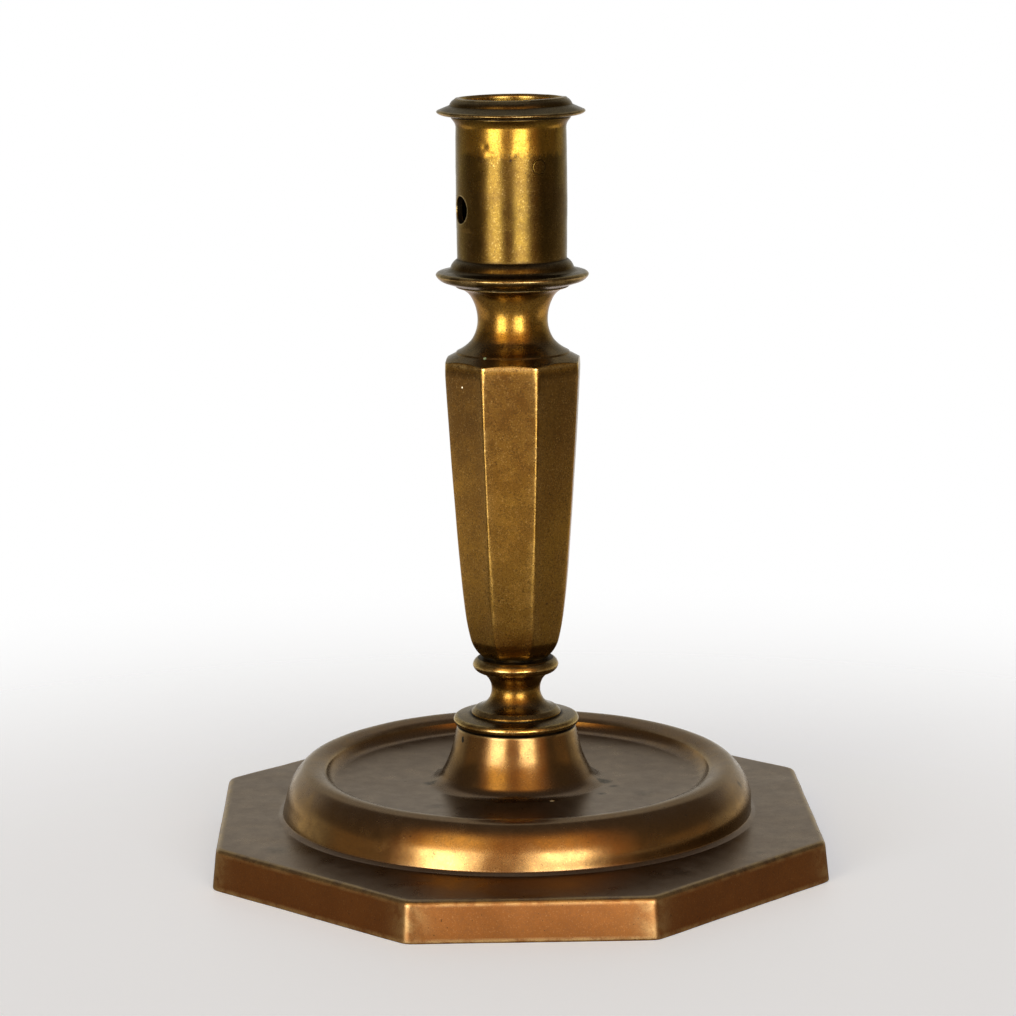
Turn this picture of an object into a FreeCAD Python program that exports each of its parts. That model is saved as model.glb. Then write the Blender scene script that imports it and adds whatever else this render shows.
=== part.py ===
"""Brass candlestick: octagonal foot with a drip well, faceted stem and candle socket.

Millimetres, +Z up. The origin is the centre of the resting face, on the turning axis.
The front of the foot faces -Y.

The candlestick comes apart into four castings:
  foot           hollow octagonal plinth, ring, drip well and conical neck
  stem           solid turned baluster with eight filed facets and a tenon below
  candle_socket  turned cup with two flanges, an extraction hole and a tenon below
  socket_plug    small brass plug that fills a core hole in the socket's wall
Both tenons are threaded on the real piece; here they are plain, with a small clearance.
"""
import FreeCAD, Part

import math
import os

import Sketcher

ORIGIN = -1       # the sketch's own origin point
VERTICAL = -2     # the sketch's own vertical axis
START = 1         # first end of a line or an arc
END = 2           # second end of a line or an arc
CENTRE = 3        # centre of a circle or an arc
OUTWARD = 1       # an arc that bulges away from the metal
INWARD = -1       # an arc that is hollowed into the metal
SIDES = 8
SIDE_TURN = 360.0 / SIDES
FULL_TURN = 360.0
UP = FreeCAD.Vector(0, 0, 1)

DIMENSIONS = {
    # foot: octagonal plinth, each flat's distance from the axis at the resting face
    "flat_front": 73.4,
    "flat_side": 69.6,
    "flat_front_right": 71.6,
    "flat_front_left": 70.5,
    "flat_rear_right": 73.9,
    "flat_rear_left": 73.2,
    "plinth_height": 9.46,
    "plinth_taper": 6.6,
    "plinth_rounding": 0.45,
    "rim_width": 5.0,
    "plate_thickness": 3.1,
    # foot: ring around the drip well
    "bell_base": 7.5,
    "ring_fillet_radius": 55.2,
    "ring_fillet_height": 9.7,
    "ring_groove_radius": 54.4,
    "ring_groove_height": 10.15,
    "ring_radius": 54.1,
    "ring_waist_height": 13.5,
    "ring_shoulder_radius": 50.2,
    "ring_shoulder_height": 20.3,
    "ring_side_arc": 7.9,
    "ring_top_arc": 4.5,
    "crest_radius": 48.0,
    "crest_height": 20.95,
    "well_edge_radius": 44.2,
    "well_edge_height": 19.6,
    "well_edge_arc": 6.0,
    "well_foot_radius": 42.0,
    "well_foot_arc": 2.2,
    "well_height": 17.6,
    # foot: conical neck
    "neck_flare_radius": 20.8,
    "neck_flare_height": 16.8,
    "neck_flare_arc": 4.2,
    "neck_low_radius": 17.3,
    "neck_low_height": 19.3,
    "neck_curve_arc": 20.0,
    "neck_waist_radius": 15.0,
    "neck_waist_height": 24.8,
    "neck_top_radius": 13.7,
    "neck_top_height": 30.25,
    # foot: hollow underneath
    "hollow_start": 3.0,
    "hollow_radius": 51.0,
    "hollow_shoulder_height": 14.5,
    "hollow_crest_radius": 47.6,
    "hollow_crest_height": 18.0,
    "hollow_crest_arc": 3.6,
    "hollow_well_radius": 43.0,
    "hollow_well_height": 14.6,
    "hollow_neck_radius": 20.0,
    "boss_radius": 12.5,
    "boss_height": 19.0,
    # joint between foot and stem
    "stem_tenon_radius": 5.0,
    "stem_tenon_end": 19.6,
    "thread_clearance": 0.05,
    # stem: collar, bead and spool
    "stem_turn": -4.7,
    "collar_low_radius": 14.0,
    "collar_radius": 14.6,
    "collar_middle": 31.2,
    "collar_top_radius": 13.9,
    "collar_top": 32.3,
    "collar_low_arc": 1.1,
    "collar_top_arc": 1.2,
    "bead_radius": 10.25,
    "bead_low": 32.65,
    "bead_high": 33.6,
    "bead_arc": 0.7,
    "spool_low_radius": 9.6,
    "spool_low_height": 34.25,
    "spool_radius": 5.65,
    "spool_height": 38.6,
    "spool_low_arc": 4.38,
    "spool_high_arc": 4.6,
    "spool_top_radius": 7.55,
    "spool_top_height": 42.3,
    # stem: knop
    "knop_low_radius": 7.9,
    "knop_low_height": 42.55,
    "knop_radius": 9.95,
    "knop_height": 44.5,
    "knop_arc": 2.3,
    "knop_top_radius": 8.3,
    "knop_top_height": 46.1,
    "waist_radius": 7.5,
    "waist_height": 46.5,
    # stem: baluster as turned, before the facets are filed
    "turned_belly_radius": 10.75,
    "turned_belly_height": 50.4,
    "turned_belly_arc": 7.5,
    "turned_low_radius": 12.0,
    "turned_low_height": 56.5,
    "turned_low_arc": 40.0,
    "turned_top_radius": 16.3,
    "turned_top_height": 112.5,
    "turned_side_arc": 700.0,
    "turned_rim_radius": 16.2,
    "turned_rim_height": 115.35,
    # stem: the filed facets' distance from the axis
    "facet_foot_radius": 7.5,
    "facet_foot_height": 46.6,
    "facet_belly_radius": 10.04,
    "facet_belly_height": 50.4,
    "facet_belly_arc": 10.0,
    "facet_low_radius": 11.2,
    "facet_low_height": 56.5,
    "facet_low_arc": 49.0,
    "facet_middle_radius": 12.45,
    "facet_middle_height": 69.3,
    "facet_middle_arc": 243.0,
    "facet_top_radius": 15.18,
    "facet_top_height": 112.5,
    "facet_top_arc": 2500.0,
    "facet_end_radius": 15.03,
    "facet_end_height": 116.4,
    "facet_end_arc": 30.0,
    "file_reach": 22.0,
    # stem: shoulder and upper neck
    "shoulder_radius": 13.1,
    "shoulder_height": 117.0,
    "slope_radius": 12.85,
    "slope_height": 117.4,
    "throat_low_radius": 9.4,
    "throat_low_height": 120.0,
    "throat_low_arc": 9.0,
    "throat_radius": 8.03,
    "throat_height": 124.6,
    "throat_side_arc": 8.45,
    "throat_high_radius": 9.2,
    "throat_high_height": 129.4,
    "throat_high_arc": 10.45,
    "disc_low_radius": 12.5,
    "disc_low_height": 131.95,
    "disc_low_arc": 4.6,
    "disc_radius": 12.9,
    "disc_edge_height": 132.15,
    "stem_top": 132.45,
    # joint between stem and socket
    "socket_tenon_radius": 4.0,
    "socket_tenon_end": 121.0,
    "tapped_hole_end": 120.0,
    # socket: lower flange
    "socket_turn": 21.3,
    "under_radius": 13.0,
    "under_flange_radius": 15.6,
    "under_flange_height": 133.3,
    "flange_radius": 17.45,
    "flange_height": 134.85,
    "flange_low_arc": 2.8,
    "flange_top_radius": 16.6,
    "flange_top_height": 135.6,
    "flange_top_arc": 0.9,
    "flange_step_radius": 15.3,
    "flange_step_height": 135.85,
    "cove_low_radius": 14.1,
    "cove_low_height": 136.5,
    "cove_low_arc": 1.6,
    "cove_radius": 12.5,
    "cove_height": 138.5,
    "cove_arc": 3.2,
    # socket: cylinder, bead, top flange and lip
    "wall_radius": 12.66,
    "wall_middle": 152.0,
    "wall_top_radius": 12.55,
    "wall_top_height": 168.2,
    "astragal_low_radius": 13.0,
    "astragal_low_height": 169.5,
    "astragal_arc": 2.2,
    "astragal_radius": 13.6,
    "astragal_height": 170.3,
    "brim_low_radius": 13.55,
    "brim_low_height": 170.75,
    "brim_under_radius": 15.6,
    "brim_under_height": 171.1,
    "brim_radius": 16.9,
    "brim_height": 171.75,
    "brim_edge_arc": 1.6,
    "brim_top_radius": 16.3,
    "brim_top_height": 172.3,
    "brim_top_arc": 0.7,
    "lip_low_radius": 13.9,
    "lip_low_height": 173.3,
    "lip_radius": 12.9,
    "lip_height": 174.6,
    "lip_arc": 2.2,
    "lip_top_radius": 12.45,
    "socket_top": 175.0,
    # socket: candle bore and extraction hole
    "mouth_radius": 11.65,
    "bore_radius": 11.15,
    "bore_top": 174.3,
    "bore_floor": 140.0,
    "extraction_radius": 3.05,
    "extraction_height": 150.0,
    # plug in the socket's wall
    "plug_radius": 1.6,
    "plug_clearance": 0.02,
    "plug_height": 160.0,
    "plug_angle": -83.2,
}

# The plinth's sides, counterclockwise from the front one.
OCTAGON = (
    "flat_front",
    "flat_front_right",
    "flat_side",
    "flat_rear_right",
    "flat_front",
    "flat_rear_left",
    "flat_side",
    "flat_front_left",
)

# Every outline below is one closed loop, counterclockwise, of corners
# (radius, height) or (radius, height, arc radius, side); None is the axis.
# The arc, where there is one, is the edge that arrives at its corner.

BELL_OUTLINE = (
    (None, "bell_base"),
    ("ring_fillet_radius", "bell_base"),
    ("ring_fillet_radius", "ring_fillet_height"),
    ("ring_groove_radius", "ring_groove_height"),
    ("ring_radius", "ring_waist_height"),
    ("ring_shoulder_radius", "ring_shoulder_height", "ring_side_arc", OUTWARD),
    ("crest_radius", "crest_height", "ring_top_arc", OUTWARD),
    ("well_edge_radius", "well_edge_height", "well_edge_arc", OUTWARD),
    ("well_foot_radius", "well_height", "well_foot_arc", INWARD),
    ("neck_flare_radius", "neck_flare_height"),
    ("neck_low_radius", "neck_low_height", "neck_flare_arc", INWARD),
    ("neck_waist_radius", "neck_waist_height", "neck_curve_arc", INWARD),
    ("neck_top_radius", "neck_top_height"),
    (None, "neck_top_height"),
)

HOLLOW_OUTLINE = (
    (None, "hollow_start"),
    ("hollow_radius", "hollow_start"),
    ("hollow_radius", "hollow_shoulder_height"),
    ("hollow_crest_radius", "hollow_crest_height", "hollow_crest_arc", OUTWARD),
    ("hollow_well_radius", "hollow_well_height"),
    ("hollow_neck_radius", "hollow_well_height"),
    ("boss_radius", "boss_height"),
    (None, "boss_height"),
)

STEM_OUTLINE = (
    (None, "stem_tenon_end"),
    ("stem_tenon_radius", "stem_tenon_end"),
    ("stem_tenon_radius", "neck_top_height"),
    ("collar_low_radius", "neck_top_height"),
    ("collar_radius", "collar_middle", "collar_low_arc", OUTWARD),
    ("collar_top_radius", "collar_top", "collar_top_arc", OUTWARD),
    ("bead_radius", "bead_low"),
    ("bead_radius", "bead_high", "bead_arc", OUTWARD),
    ("spool_low_radius", "spool_low_height"),
    ("spool_radius", "spool_height", "spool_low_arc", INWARD),
    ("spool_top_radius", "spool_top_height", "spool_high_arc", INWARD),
    ("knop_low_radius", "knop_low_height"),
    ("knop_radius", "knop_height", "knop_arc", OUTWARD),
    ("knop_top_radius", "knop_top_height", "knop_arc", OUTWARD),
    ("waist_radius", "waist_height"),
    ("turned_belly_radius", "turned_belly_height", "turned_belly_arc", OUTWARD),
    ("turned_low_radius", "turned_low_height", "turned_low_arc", OUTWARD),
    ("turned_top_radius", "turned_top_height", "turned_side_arc", OUTWARD),
    ("turned_rim_radius", "turned_rim_height"),
    ("shoulder_radius", "shoulder_height"),
    ("slope_radius", "slope_height"),
    ("throat_low_radius", "throat_low_height", "throat_low_arc", INWARD),
    ("throat_radius", "throat_height", "throat_side_arc", INWARD),
    ("throat_high_radius", "throat_high_height", "throat_high_arc", INWARD),
    ("disc_low_radius", "disc_low_height", "disc_low_arc", INWARD),
    ("disc_radius", "disc_edge_height"),
    ("disc_radius", "stem_top"),
    (None, "stem_top"),
)

# What the file takes off one side: everything further out than the facet's own curve.
FACET_OUTLINE = (
    ("file_reach", "facet_end_height"),
    ("facet_end_radius", "facet_end_height"),
    ("facet_top_radius", "facet_top_height", "facet_end_arc", INWARD),
    ("facet_middle_radius", "facet_middle_height", "facet_top_arc", INWARD),
    ("facet_low_radius", "facet_low_height", "facet_middle_arc", INWARD),
    ("facet_belly_radius", "facet_belly_height", "facet_low_arc", INWARD),
    ("facet_foot_radius", "facet_foot_height", "facet_belly_arc", INWARD),
    ("file_reach", "facet_foot_height"),
)

SOCKET_OUTLINE = (
    (None, "socket_tenon_end"),
    ("socket_tenon_radius", "socket_tenon_end"),
    ("socket_tenon_radius", "stem_top"),
    ("under_radius", "stem_top"),
    ("under_flange_radius", "under_flange_height"),
    ("flange_radius", "flange_height", "flange_low_arc", OUTWARD),
    ("flange_top_radius", "flange_top_height", "flange_top_arc", OUTWARD),
    ("flange_step_radius", "flange_step_height"),
    ("cove_low_radius", "cove_low_height", "cove_low_arc", INWARD),
    ("cove_radius", "cove_height", "cove_arc", OUTWARD),
    ("wall_radius", "wall_middle"),
    ("wall_top_radius", "wall_top_height"),
    ("astragal_low_radius", "astragal_low_height", "astragal_arc", INWARD),
    ("astragal_radius", "astragal_height"),
    ("brim_low_radius", "brim_low_height"),
    ("brim_under_radius", "brim_under_height"),
    ("brim_radius", "brim_height", "brim_edge_arc", OUTWARD),
    ("brim_top_radius", "brim_top_height", "brim_top_arc", OUTWARD),
    ("lip_low_radius", "lip_low_height"),
    ("lip_radius", "lip_height", "lip_arc", OUTWARD),
    ("lip_top_radius", "socket_top"),
    ("mouth_radius", "socket_top"),
    ("bore_radius", "bore_top"),
    ("bore_radius", "bore_floor"),
    (None, "bore_floor"),
)


def size(alias):
    """The value of one driving dimension; None stands for zero, which is the axis."""
    if alias is None:
        return 0.0
    return float(sheet.get(alias))


def bind(thing, place, alias):
    """Ties a property or a constraint to a cell of the sheet."""
    thing.setExpression(place, f"dims.{alias}")


def make_sheet(doc):
    """The spreadsheet that holds every driving dimension, one row each."""
    table = doc.addObject("Spreadsheet::Sheet", "dims")
    for row, (alias, number) in enumerate(DIMENSIONS.items(), start=1):
        table.set(f"A{row}", alias)
        table.set(f"B{row}", str(number))
        table.setAlias(f"B{row}", alias)
    doc.recompute()
    return table


def make_body(name):
    """An empty body with its label."""
    body = doc.addObject("PartDesign::Body", name)
    body.Label = name
    return body


def origin_feature(body, role):
    """One of the body's own origin planes or axes."""
    return next(f for f in body.Origin.OriginFeatures if f.Role == role)


def make_sketch(body, name, role):
    """An empty sketch on one of the body's own origin planes."""
    sketch = body.newObject("Sketcher::SketchObject", name)
    sketch.AttachmentSupport = (origin_feature(body, role), [""])
    sketch.MapMode = "FlatFace"
    return sketch


def arc_through(first, last, radius, side):
    """The short arc of that radius from first to last, and whether it runs that way round.

    The metal lies to the left of the way from first to last, so an arc that bulges
    outward has its centre on the left and runs counterclockwise.
    """
    chord = last - first
    half = chord.Length / 2
    rise = math.sqrt(radius * radius - half * half)
    left = FreeCAD.Vector(-chord.y, chord.x, 0)
    left.normalize()
    centre = (first + last) / 2 + left * (rise * side)
    angle_first = math.atan2(first.y - centre.y, first.x - centre.x)
    angle_last = math.atan2(last.y - centre.y, last.x - centre.x)
    circle = Part.Circle(centre, UP, radius)
    if side == OUTWARD:
        return Part.ArcOfCircle(circle, angle_first, angle_last), True
    return Part.ArcOfCircle(circle, angle_last, angle_first), False


def draw_outline(sketch, outline):
    """A closed outline of lines and arcs, every vertex and radius tied to the sheet."""
    corners = [FreeCAD.Vector(size(entry[0]), size(entry[1]), 0) for entry in outline]
    heads = []
    tails = []
    for i, entry in enumerate(outline):
        first = corners[i - 1]
        forward = True
        if len(entry) > 2:
            shape, forward = arc_through(first, corners[i], size(entry[2]), entry[3])
        else:
            shape = Part.LineSegment(first, corners[i])
        edge = sketch.addGeometry(shape)
        heads.append((edge, START if forward else END))
        tails.append((edge, END if forward else START))
    for i, entry in enumerate(outline):
        sketch.addConstraint(Sketcher.Constraint("Coincident", *tails[i - 1], *heads[i]))
        if entry[0] is None:
            sketch.addConstraint(Sketcher.Constraint("PointOnObject", *tails[i], VERTICAL))
        else:
            across = Sketcher.Constraint("DistanceX", ORIGIN, START, *tails[i], size(entry[0]))
            bind(sketch, f"Constraints[{sketch.addConstraint(across)}]", entry[0])
        up = Sketcher.Constraint("DistanceY", ORIGIN, START, *tails[i], size(entry[1]))
        bind(sketch, f"Constraints[{sketch.addConstraint(up)}]", entry[1])
        if len(entry) > 2:
            bend = Sketcher.Constraint("Radius", tails[i][0], size(entry[2]))
            bind(sketch, f"Constraints[{sketch.addConstraint(bend)}]", entry[2])


def draw_circle(sketch, radius_alias, height_alias=None, clearance_alias=None):
    """A circle on the sketch's vertical axis, at its origin unless a height is given."""
    radius = size(radius_alias) + size(clearance_alias)
    centre = FreeCAD.Vector(0, size(height_alias), 0)
    ring = sketch.addGeometry(Part.Circle(centre, UP, radius))
    bend = sketch.addConstraint(Sketcher.Constraint("Radius", ring, radius))
    rule = f"dims.{radius_alias}"
    if clearance_alias:
        rule += f" + dims.{clearance_alias}"
    sketch.setExpression(f"Constraints[{bend}]", rule)
    if height_alias is None:
        sketch.addConstraint(Sketcher.Constraint("Coincident", ring, CENTRE, ORIGIN, START))
        return
    sketch.addConstraint(Sketcher.Constraint("PointOnObject", ring, CENTRE, VERTICAL))
    up = Sketcher.Constraint("DistanceY", ORIGIN, START, ring, CENTRE, size(height_alias))
    bind(sketch, f"Constraints[{sketch.addConstraint(up)}]", height_alias)


def draw_octagon(sketch, inset_alias=None):
    """Eight sides at 45 degree steps, each at its own distance from the axis."""
    inset = size(inset_alias)
    normals = []
    for i in range(SIDES):
        turn = math.radians(SIDE_TURN * i - 90)
        normals.append(FreeCAD.Vector(math.cos(turn), math.sin(turn), 0))
    reach = [size(alias) - inset for alias in OCTAGON]
    corners = []
    for i in range(SIDES):
        a, b = normals[i - 1], normals[i]
        share = a.x * b.y - a.y * b.x
        x = (reach[i - 1] * b.y - reach[i] * a.y) / share
        y = (reach[i] * a.x - reach[i - 1] * b.x) / share
        corners.append(FreeCAD.Vector(x, y, 0))
    for i in range(SIDES):
        sketch.addGeometry(Part.LineSegment(corners[i], corners[(i + 1) % SIDES]))
    for i, alias in enumerate(OCTAGON):
        following = (i + 1) % SIDES
        sketch.addConstraint(Sketcher.Constraint("Coincident", i, END, following, START))
        sketch.addConstraint(Sketcher.Constraint("Angle", i, math.radians(SIDE_TURN * i)))
        away = Sketcher.Constraint("Distance", ORIGIN, START, i, reach[i])
        rule = f"dims.{alias}"
        if inset_alias:
            rule += f" - dims.{inset_alias}"
        sketch.setExpression(f"Constraints[{sketch.addConstraint(away)}]", rule)


def turn_about_axis(body, kind, name, outline):
    """A revolution or a groove of an outline drawn in the XZ plane."""
    sketch = make_sketch(body, f"{name}_outline", "XZ_Plane")
    draw_outline(sketch, outline)
    feature = body.newObject(f"PartDesign::{kind}", name)
    feature.Profile = sketch
    feature.ReferenceAxis = (sketch, ["V_Axis"])
    feature.Angle = FULL_TURN
    return feature


def settle_cut(body, before, after):
    """Recomputes the body, and makes sure that its newest cut took metal away."""
    doc.recompute()
    if after.Shape.Volume >= before.Shape.Volume:
        raise RuntimeError(f"{after.Name} in {body.Label} cuts nothing")


def make_foot():
    """Octagonal plinth with rounded edges, ring, drip well and neck, hollow below."""
    body = make_body("foot")
    plan = make_sketch(body, "plinth_plan", "XY_Plane")
    draw_octagon(plan)
    plinth = body.newObject("PartDesign::Pad", "plinth")
    plinth.Profile = plan
    bind(plinth, "Length", "plinth_height")
    plinth.setExpression("TaperAngle", "-dims.plinth_taper")
    doc.recompute()
    rounding = body.newObject("PartDesign::Fillet", "plinth_edges")
    rounding.Base = (plinth, [f"Edge{i + 1}" for i in range(len(plinth.Shape.Edges))])
    bind(rounding, "Radius", "plinth_rounding")
    bell = turn_about_axis(body, "Revolution", "bell", BELL_OUTLINE)
    doc.recompute()

    inner_plan = make_sketch(body, "recess_plan", "XY_Plane")
    draw_octagon(inner_plan, "rim_width")
    recess = body.newObject("PartDesign::Pocket", "recess")
    recess.Profile = inner_plan
    recess.setExpression("Length", "dims.plinth_height - dims.plate_thickness")
    recess.Reversed = True
    settle_cut(body, bell, recess)

    hollow = turn_about_axis(body, "Groove", "hollow", HOLLOW_OUTLINE)
    settle_cut(body, recess, hollow)

    bore_plan = make_sketch(body, "tapped_hole_plan", "XY_Plane")
    draw_circle(bore_plan, "stem_tenon_radius", clearance_alias="thread_clearance")
    tapped_hole = body.newObject("PartDesign::Pocket", "tapped_hole")
    tapped_hole.Profile = bore_plan
    tapped_hole.Type = "ThroughAll"
    tapped_hole.Reversed = True
    settle_cut(body, hollow, tapped_hole)
    return body


def make_stem():
    """Turned baluster with a tenon; eight curved facets are filed around its belly."""
    body = make_body("stem")
    turned = turn_about_axis(body, "Revolution", "turned_stem", STEM_OUTLINE)
    doc.recompute()

    file_path = make_sketch(body, "facet_outline", "XZ_Plane")
    draw_outline(file_path, FACET_OUTLINE)
    facet = body.newObject("PartDesign::Pocket", "facet")
    facet.Profile = file_path
    facet.Type = "ThroughAll"
    facet.Midplane = True
    settle_cut(body, turned, facet)

    facets = body.newObject("PartDesign::PolarPattern", "facets")
    facets.Originals = [facet]
    facets.Axis = (origin_feature(body, "Z_Axis"), [""])
    facets.Angle = FULL_TURN
    facets.Occurrences = SIDES
    body.Tip = facets
    settle_cut(body, facet, facets)

    hole_plan = make_sketch(body, "tapped_hole_outline", "XY_Plane")
    bind(hole_plan, "AttachmentOffset.Base.z", "tapped_hole_end")
    draw_circle(hole_plan, "socket_tenon_radius", clearance_alias="thread_clearance")
    tapped_hole = body.newObject("PartDesign::Pocket", "tapped_top")
    tapped_hole.Profile = hole_plan
    tapped_hole.Type = "ThroughAll"
    tapped_hole.Reversed = True
    body.Tip = tapped_hole
    settle_cut(body, facets, tapped_hole)
    body.Placement.Rotation = FreeCAD.Rotation(UP, size("stem_turn"))
    return body


def make_socket():
    """Turned cup with its extraction hole on -X, then set at its own angle on the stem."""
    body = make_body("candle_socket")
    cup = turn_about_axis(body, "Revolution", "cup", SOCKET_OUTLINE)
    doc.recompute()

    hole_plan = make_sketch(body, "extraction_plan", "YZ_Plane")
    draw_circle(hole_plan, "extraction_radius", "extraction_height")
    extraction = body.newObject("PartDesign::Pocket", "extraction_hole")
    extraction.Profile = hole_plan
    extraction.Type = "ThroughAll"
    settle_cut(body, cup, extraction)

    core_plan = make_sketch(body, "core_hole_plan", "XZ_Plane")
    sideways = FreeCAD.Rotation(FreeCAD.Vector(0, 1, 0), size("plug_angle") + 90)
    core_plan.AttachmentOffset = FreeCAD.Placement(FreeCAD.Vector(), sideways)
    core_plan.setExpression("AttachmentOffset.Rotation.Angle", "dims.plug_angle + 90")
    draw_circle(core_plan, "plug_radius", "plug_height", "plug_clearance")
    core_hole = body.newObject("PartDesign::Pocket", "core_hole")
    core_hole.Profile = core_plan
    core_hole.Type = "ThroughAll"
    core_hole.Reversed = True
    settle_cut(body, extraction, core_hole)
    body.Placement.Rotation = FreeCAD.Rotation(UP, size("socket_turn"))
    return body


def make_plug():
    """A short brass plug, its ends rounded to the cup's own inner and outer wall."""
    pin = doc.addObject("Part::Cylinder", "plug_pin")
    bind(pin, "Radius", "plug_radius")
    bind(pin, "Height", "wall_radius")
    turn = math.radians(size("plug_angle") + size("socket_turn"))
    aim = FreeCAD.Vector(math.cos(turn), math.sin(turn), 0)
    pin.Placement = FreeCAD.Placement(
        FreeCAD.Vector(0, 0, size("plug_height")),
        FreeCAD.Rotation(UP, aim))
    inside = doc.addObject("Part::Cylinder", "plug_inside")
    bind(inside, "Radius", "bore_radius")
    bind(inside, "Height", "socket_top")
    plug = doc.addObject("Part::Cut", "socket_plug")
    plug.Label = "socket_plug"
    plug.Base = pin
    plug.Tool = inside
    doc.recompute()
    return plug


def check(doc, pieces):
    """Stops if any object failed or any piece isn't one valid solid."""
    for thing in doc.Objects:
        if "Invalid" in thing.State or "Error" in thing.State:
            raise RuntimeError(f"{thing.Name} failed: {thing.State}")
    for piece in pieces:
        if piece.Shape.isNull() or not piece.Shape.isValid():
            raise RuntimeError(f"{piece.Label} has no valid shape")
        if len(piece.Shape.Solids) != 1:
            raise RuntimeError(f"{piece.Label} is {len(piece.Shape.Solids)} solids")


os.makedirs("parts", exist_ok=True)
doc = FreeCAD.newDocument("candlestick")
sheet = make_sheet(doc)
pieces = [make_foot(), make_stem(), make_socket(), make_plug()]
doc.recompute()
check(doc, pieces)
for piece in pieces:
    piece.Shape.exportStep(f"parts/{piece.Label}.step")
    box = piece.Shape.BoundBox
    print(f"{piece.Label}: {piece.Shape.Volume / 1000:.1f} cm3, "
          f"x {box.XMin:.2f}..{box.XMax:.2f}, y {box.YMin:.2f}..{box.YMax:.2f}, "
          f"z {box.ZMin:.2f}..{box.ZMax:.2f}")
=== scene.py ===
"""Brass candlestick: its looks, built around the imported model.

The scene is in metres, +Z up, in the frame of the CAD model; the front of the foot faces -Y.
Outlines and other small sizes are in millimetres. An azimuth is a direction around the stem's
axis, in degrees: 0 towards the front, growing to the right.
"""

import functools
import math

import bpy
import numpy as np
from mathutils import Matrix, Vector


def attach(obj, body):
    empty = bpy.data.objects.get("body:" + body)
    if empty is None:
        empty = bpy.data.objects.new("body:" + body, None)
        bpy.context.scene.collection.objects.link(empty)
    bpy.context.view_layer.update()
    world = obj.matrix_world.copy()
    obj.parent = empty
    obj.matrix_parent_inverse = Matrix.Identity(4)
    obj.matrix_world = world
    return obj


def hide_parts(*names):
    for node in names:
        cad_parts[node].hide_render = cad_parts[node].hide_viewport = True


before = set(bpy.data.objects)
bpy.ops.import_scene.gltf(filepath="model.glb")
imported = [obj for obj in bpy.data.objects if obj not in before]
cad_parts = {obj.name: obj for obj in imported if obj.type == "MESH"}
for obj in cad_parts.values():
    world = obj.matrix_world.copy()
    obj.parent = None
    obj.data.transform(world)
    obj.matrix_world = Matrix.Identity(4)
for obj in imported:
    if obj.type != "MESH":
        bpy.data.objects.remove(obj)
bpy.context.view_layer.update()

MM = 0.001
OUTWARD = 1               # an arc that bulges away from the metal
INWARD = -1               # an arc that is hollowed into the metal
SIDES = 8
SIDE_TURN = 360 / SIDES

# ---------------------------------------------------------------- outlines, in millimetres
# Each outline runs counterclockwise, with the metal on its left: (radius, height), or
# (radius, height, arc radius, side) where the stretch that arrives there is an arc.

FLAT = 73.4               # the front flat's distance from the axis at the resting face
SIDE_FLAT = 69.6
# The octagon's flats, counterclockwise from the front one: how far each is from the axis.
FLATS = (FLAT, 71.6, SIDE_FLAT, 73.9, FLAT, 73.2, SIDE_FLAT, 70.5)
ROUND_WITHIN = 56.5       # inside this radius the foot is round
OCTAGONAL_BEYOND = 66.0   # beyond this one it has the octagon's shape
PLATE_HEIGHT = 9.46       # the plinth's upper face
NECK_TOP = 30.25          # joint between foot and stem
STEM_TOP = 132.45         # joint between stem and socket
BORE_RADIUS = 11.15
WALL_RADIUS = 12.6        # the socket's wall, where its hole and its plug are

FOOT_OUTLINE = (
    (73.1, 0.0),                           # resting face
    (73.35, 0.4, 0.55, OUTWARD),
    (72.52, 8.35),                         # tapered side
    (71.35, PLATE_HEIGHT, 1.3, OUTWARD),
    (55.7, PLATE_HEIGHT),                          # plate
    (55.15, 9.7, 0.8, INWARD),             # ring's fillet, groove and side
    (54.5, 10.15),
    (54.15, 13.0),
    (50.2, 20.3, 11.4, OUTWARD),
    (48.0, 20.95, 3.6, OUTWARD),
    (44.4, 19.7, 6.0, OUTWARD),
    (41.2, 17.57, 3.4, INWARD),
    (20.8, 16.8),                          # drip well
    (17.3, 19.3, 4.2, INWARD),             # neck
    (15.0, 24.8, 20.0, INWARD),
    (13.78, 29.8),
    (13.1, NECK_TOP, 0.7, OUTWARD),
    (5.05, NECK_TOP),
    (5.05, 19.0),                          # tapped hole
    (12.5, 19.0),                          # boss below the neck
    (20.0, 14.6),
    (43.0, 14.6),
    (47.6, 18.0),
    (51.0, 14.5, 3.6, INWARD),
    (51.0, 6.36),                          # hollow's wall
    (68.4, 6.36),                          # underside of the plate
    (68.4, 0.0),
)

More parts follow.
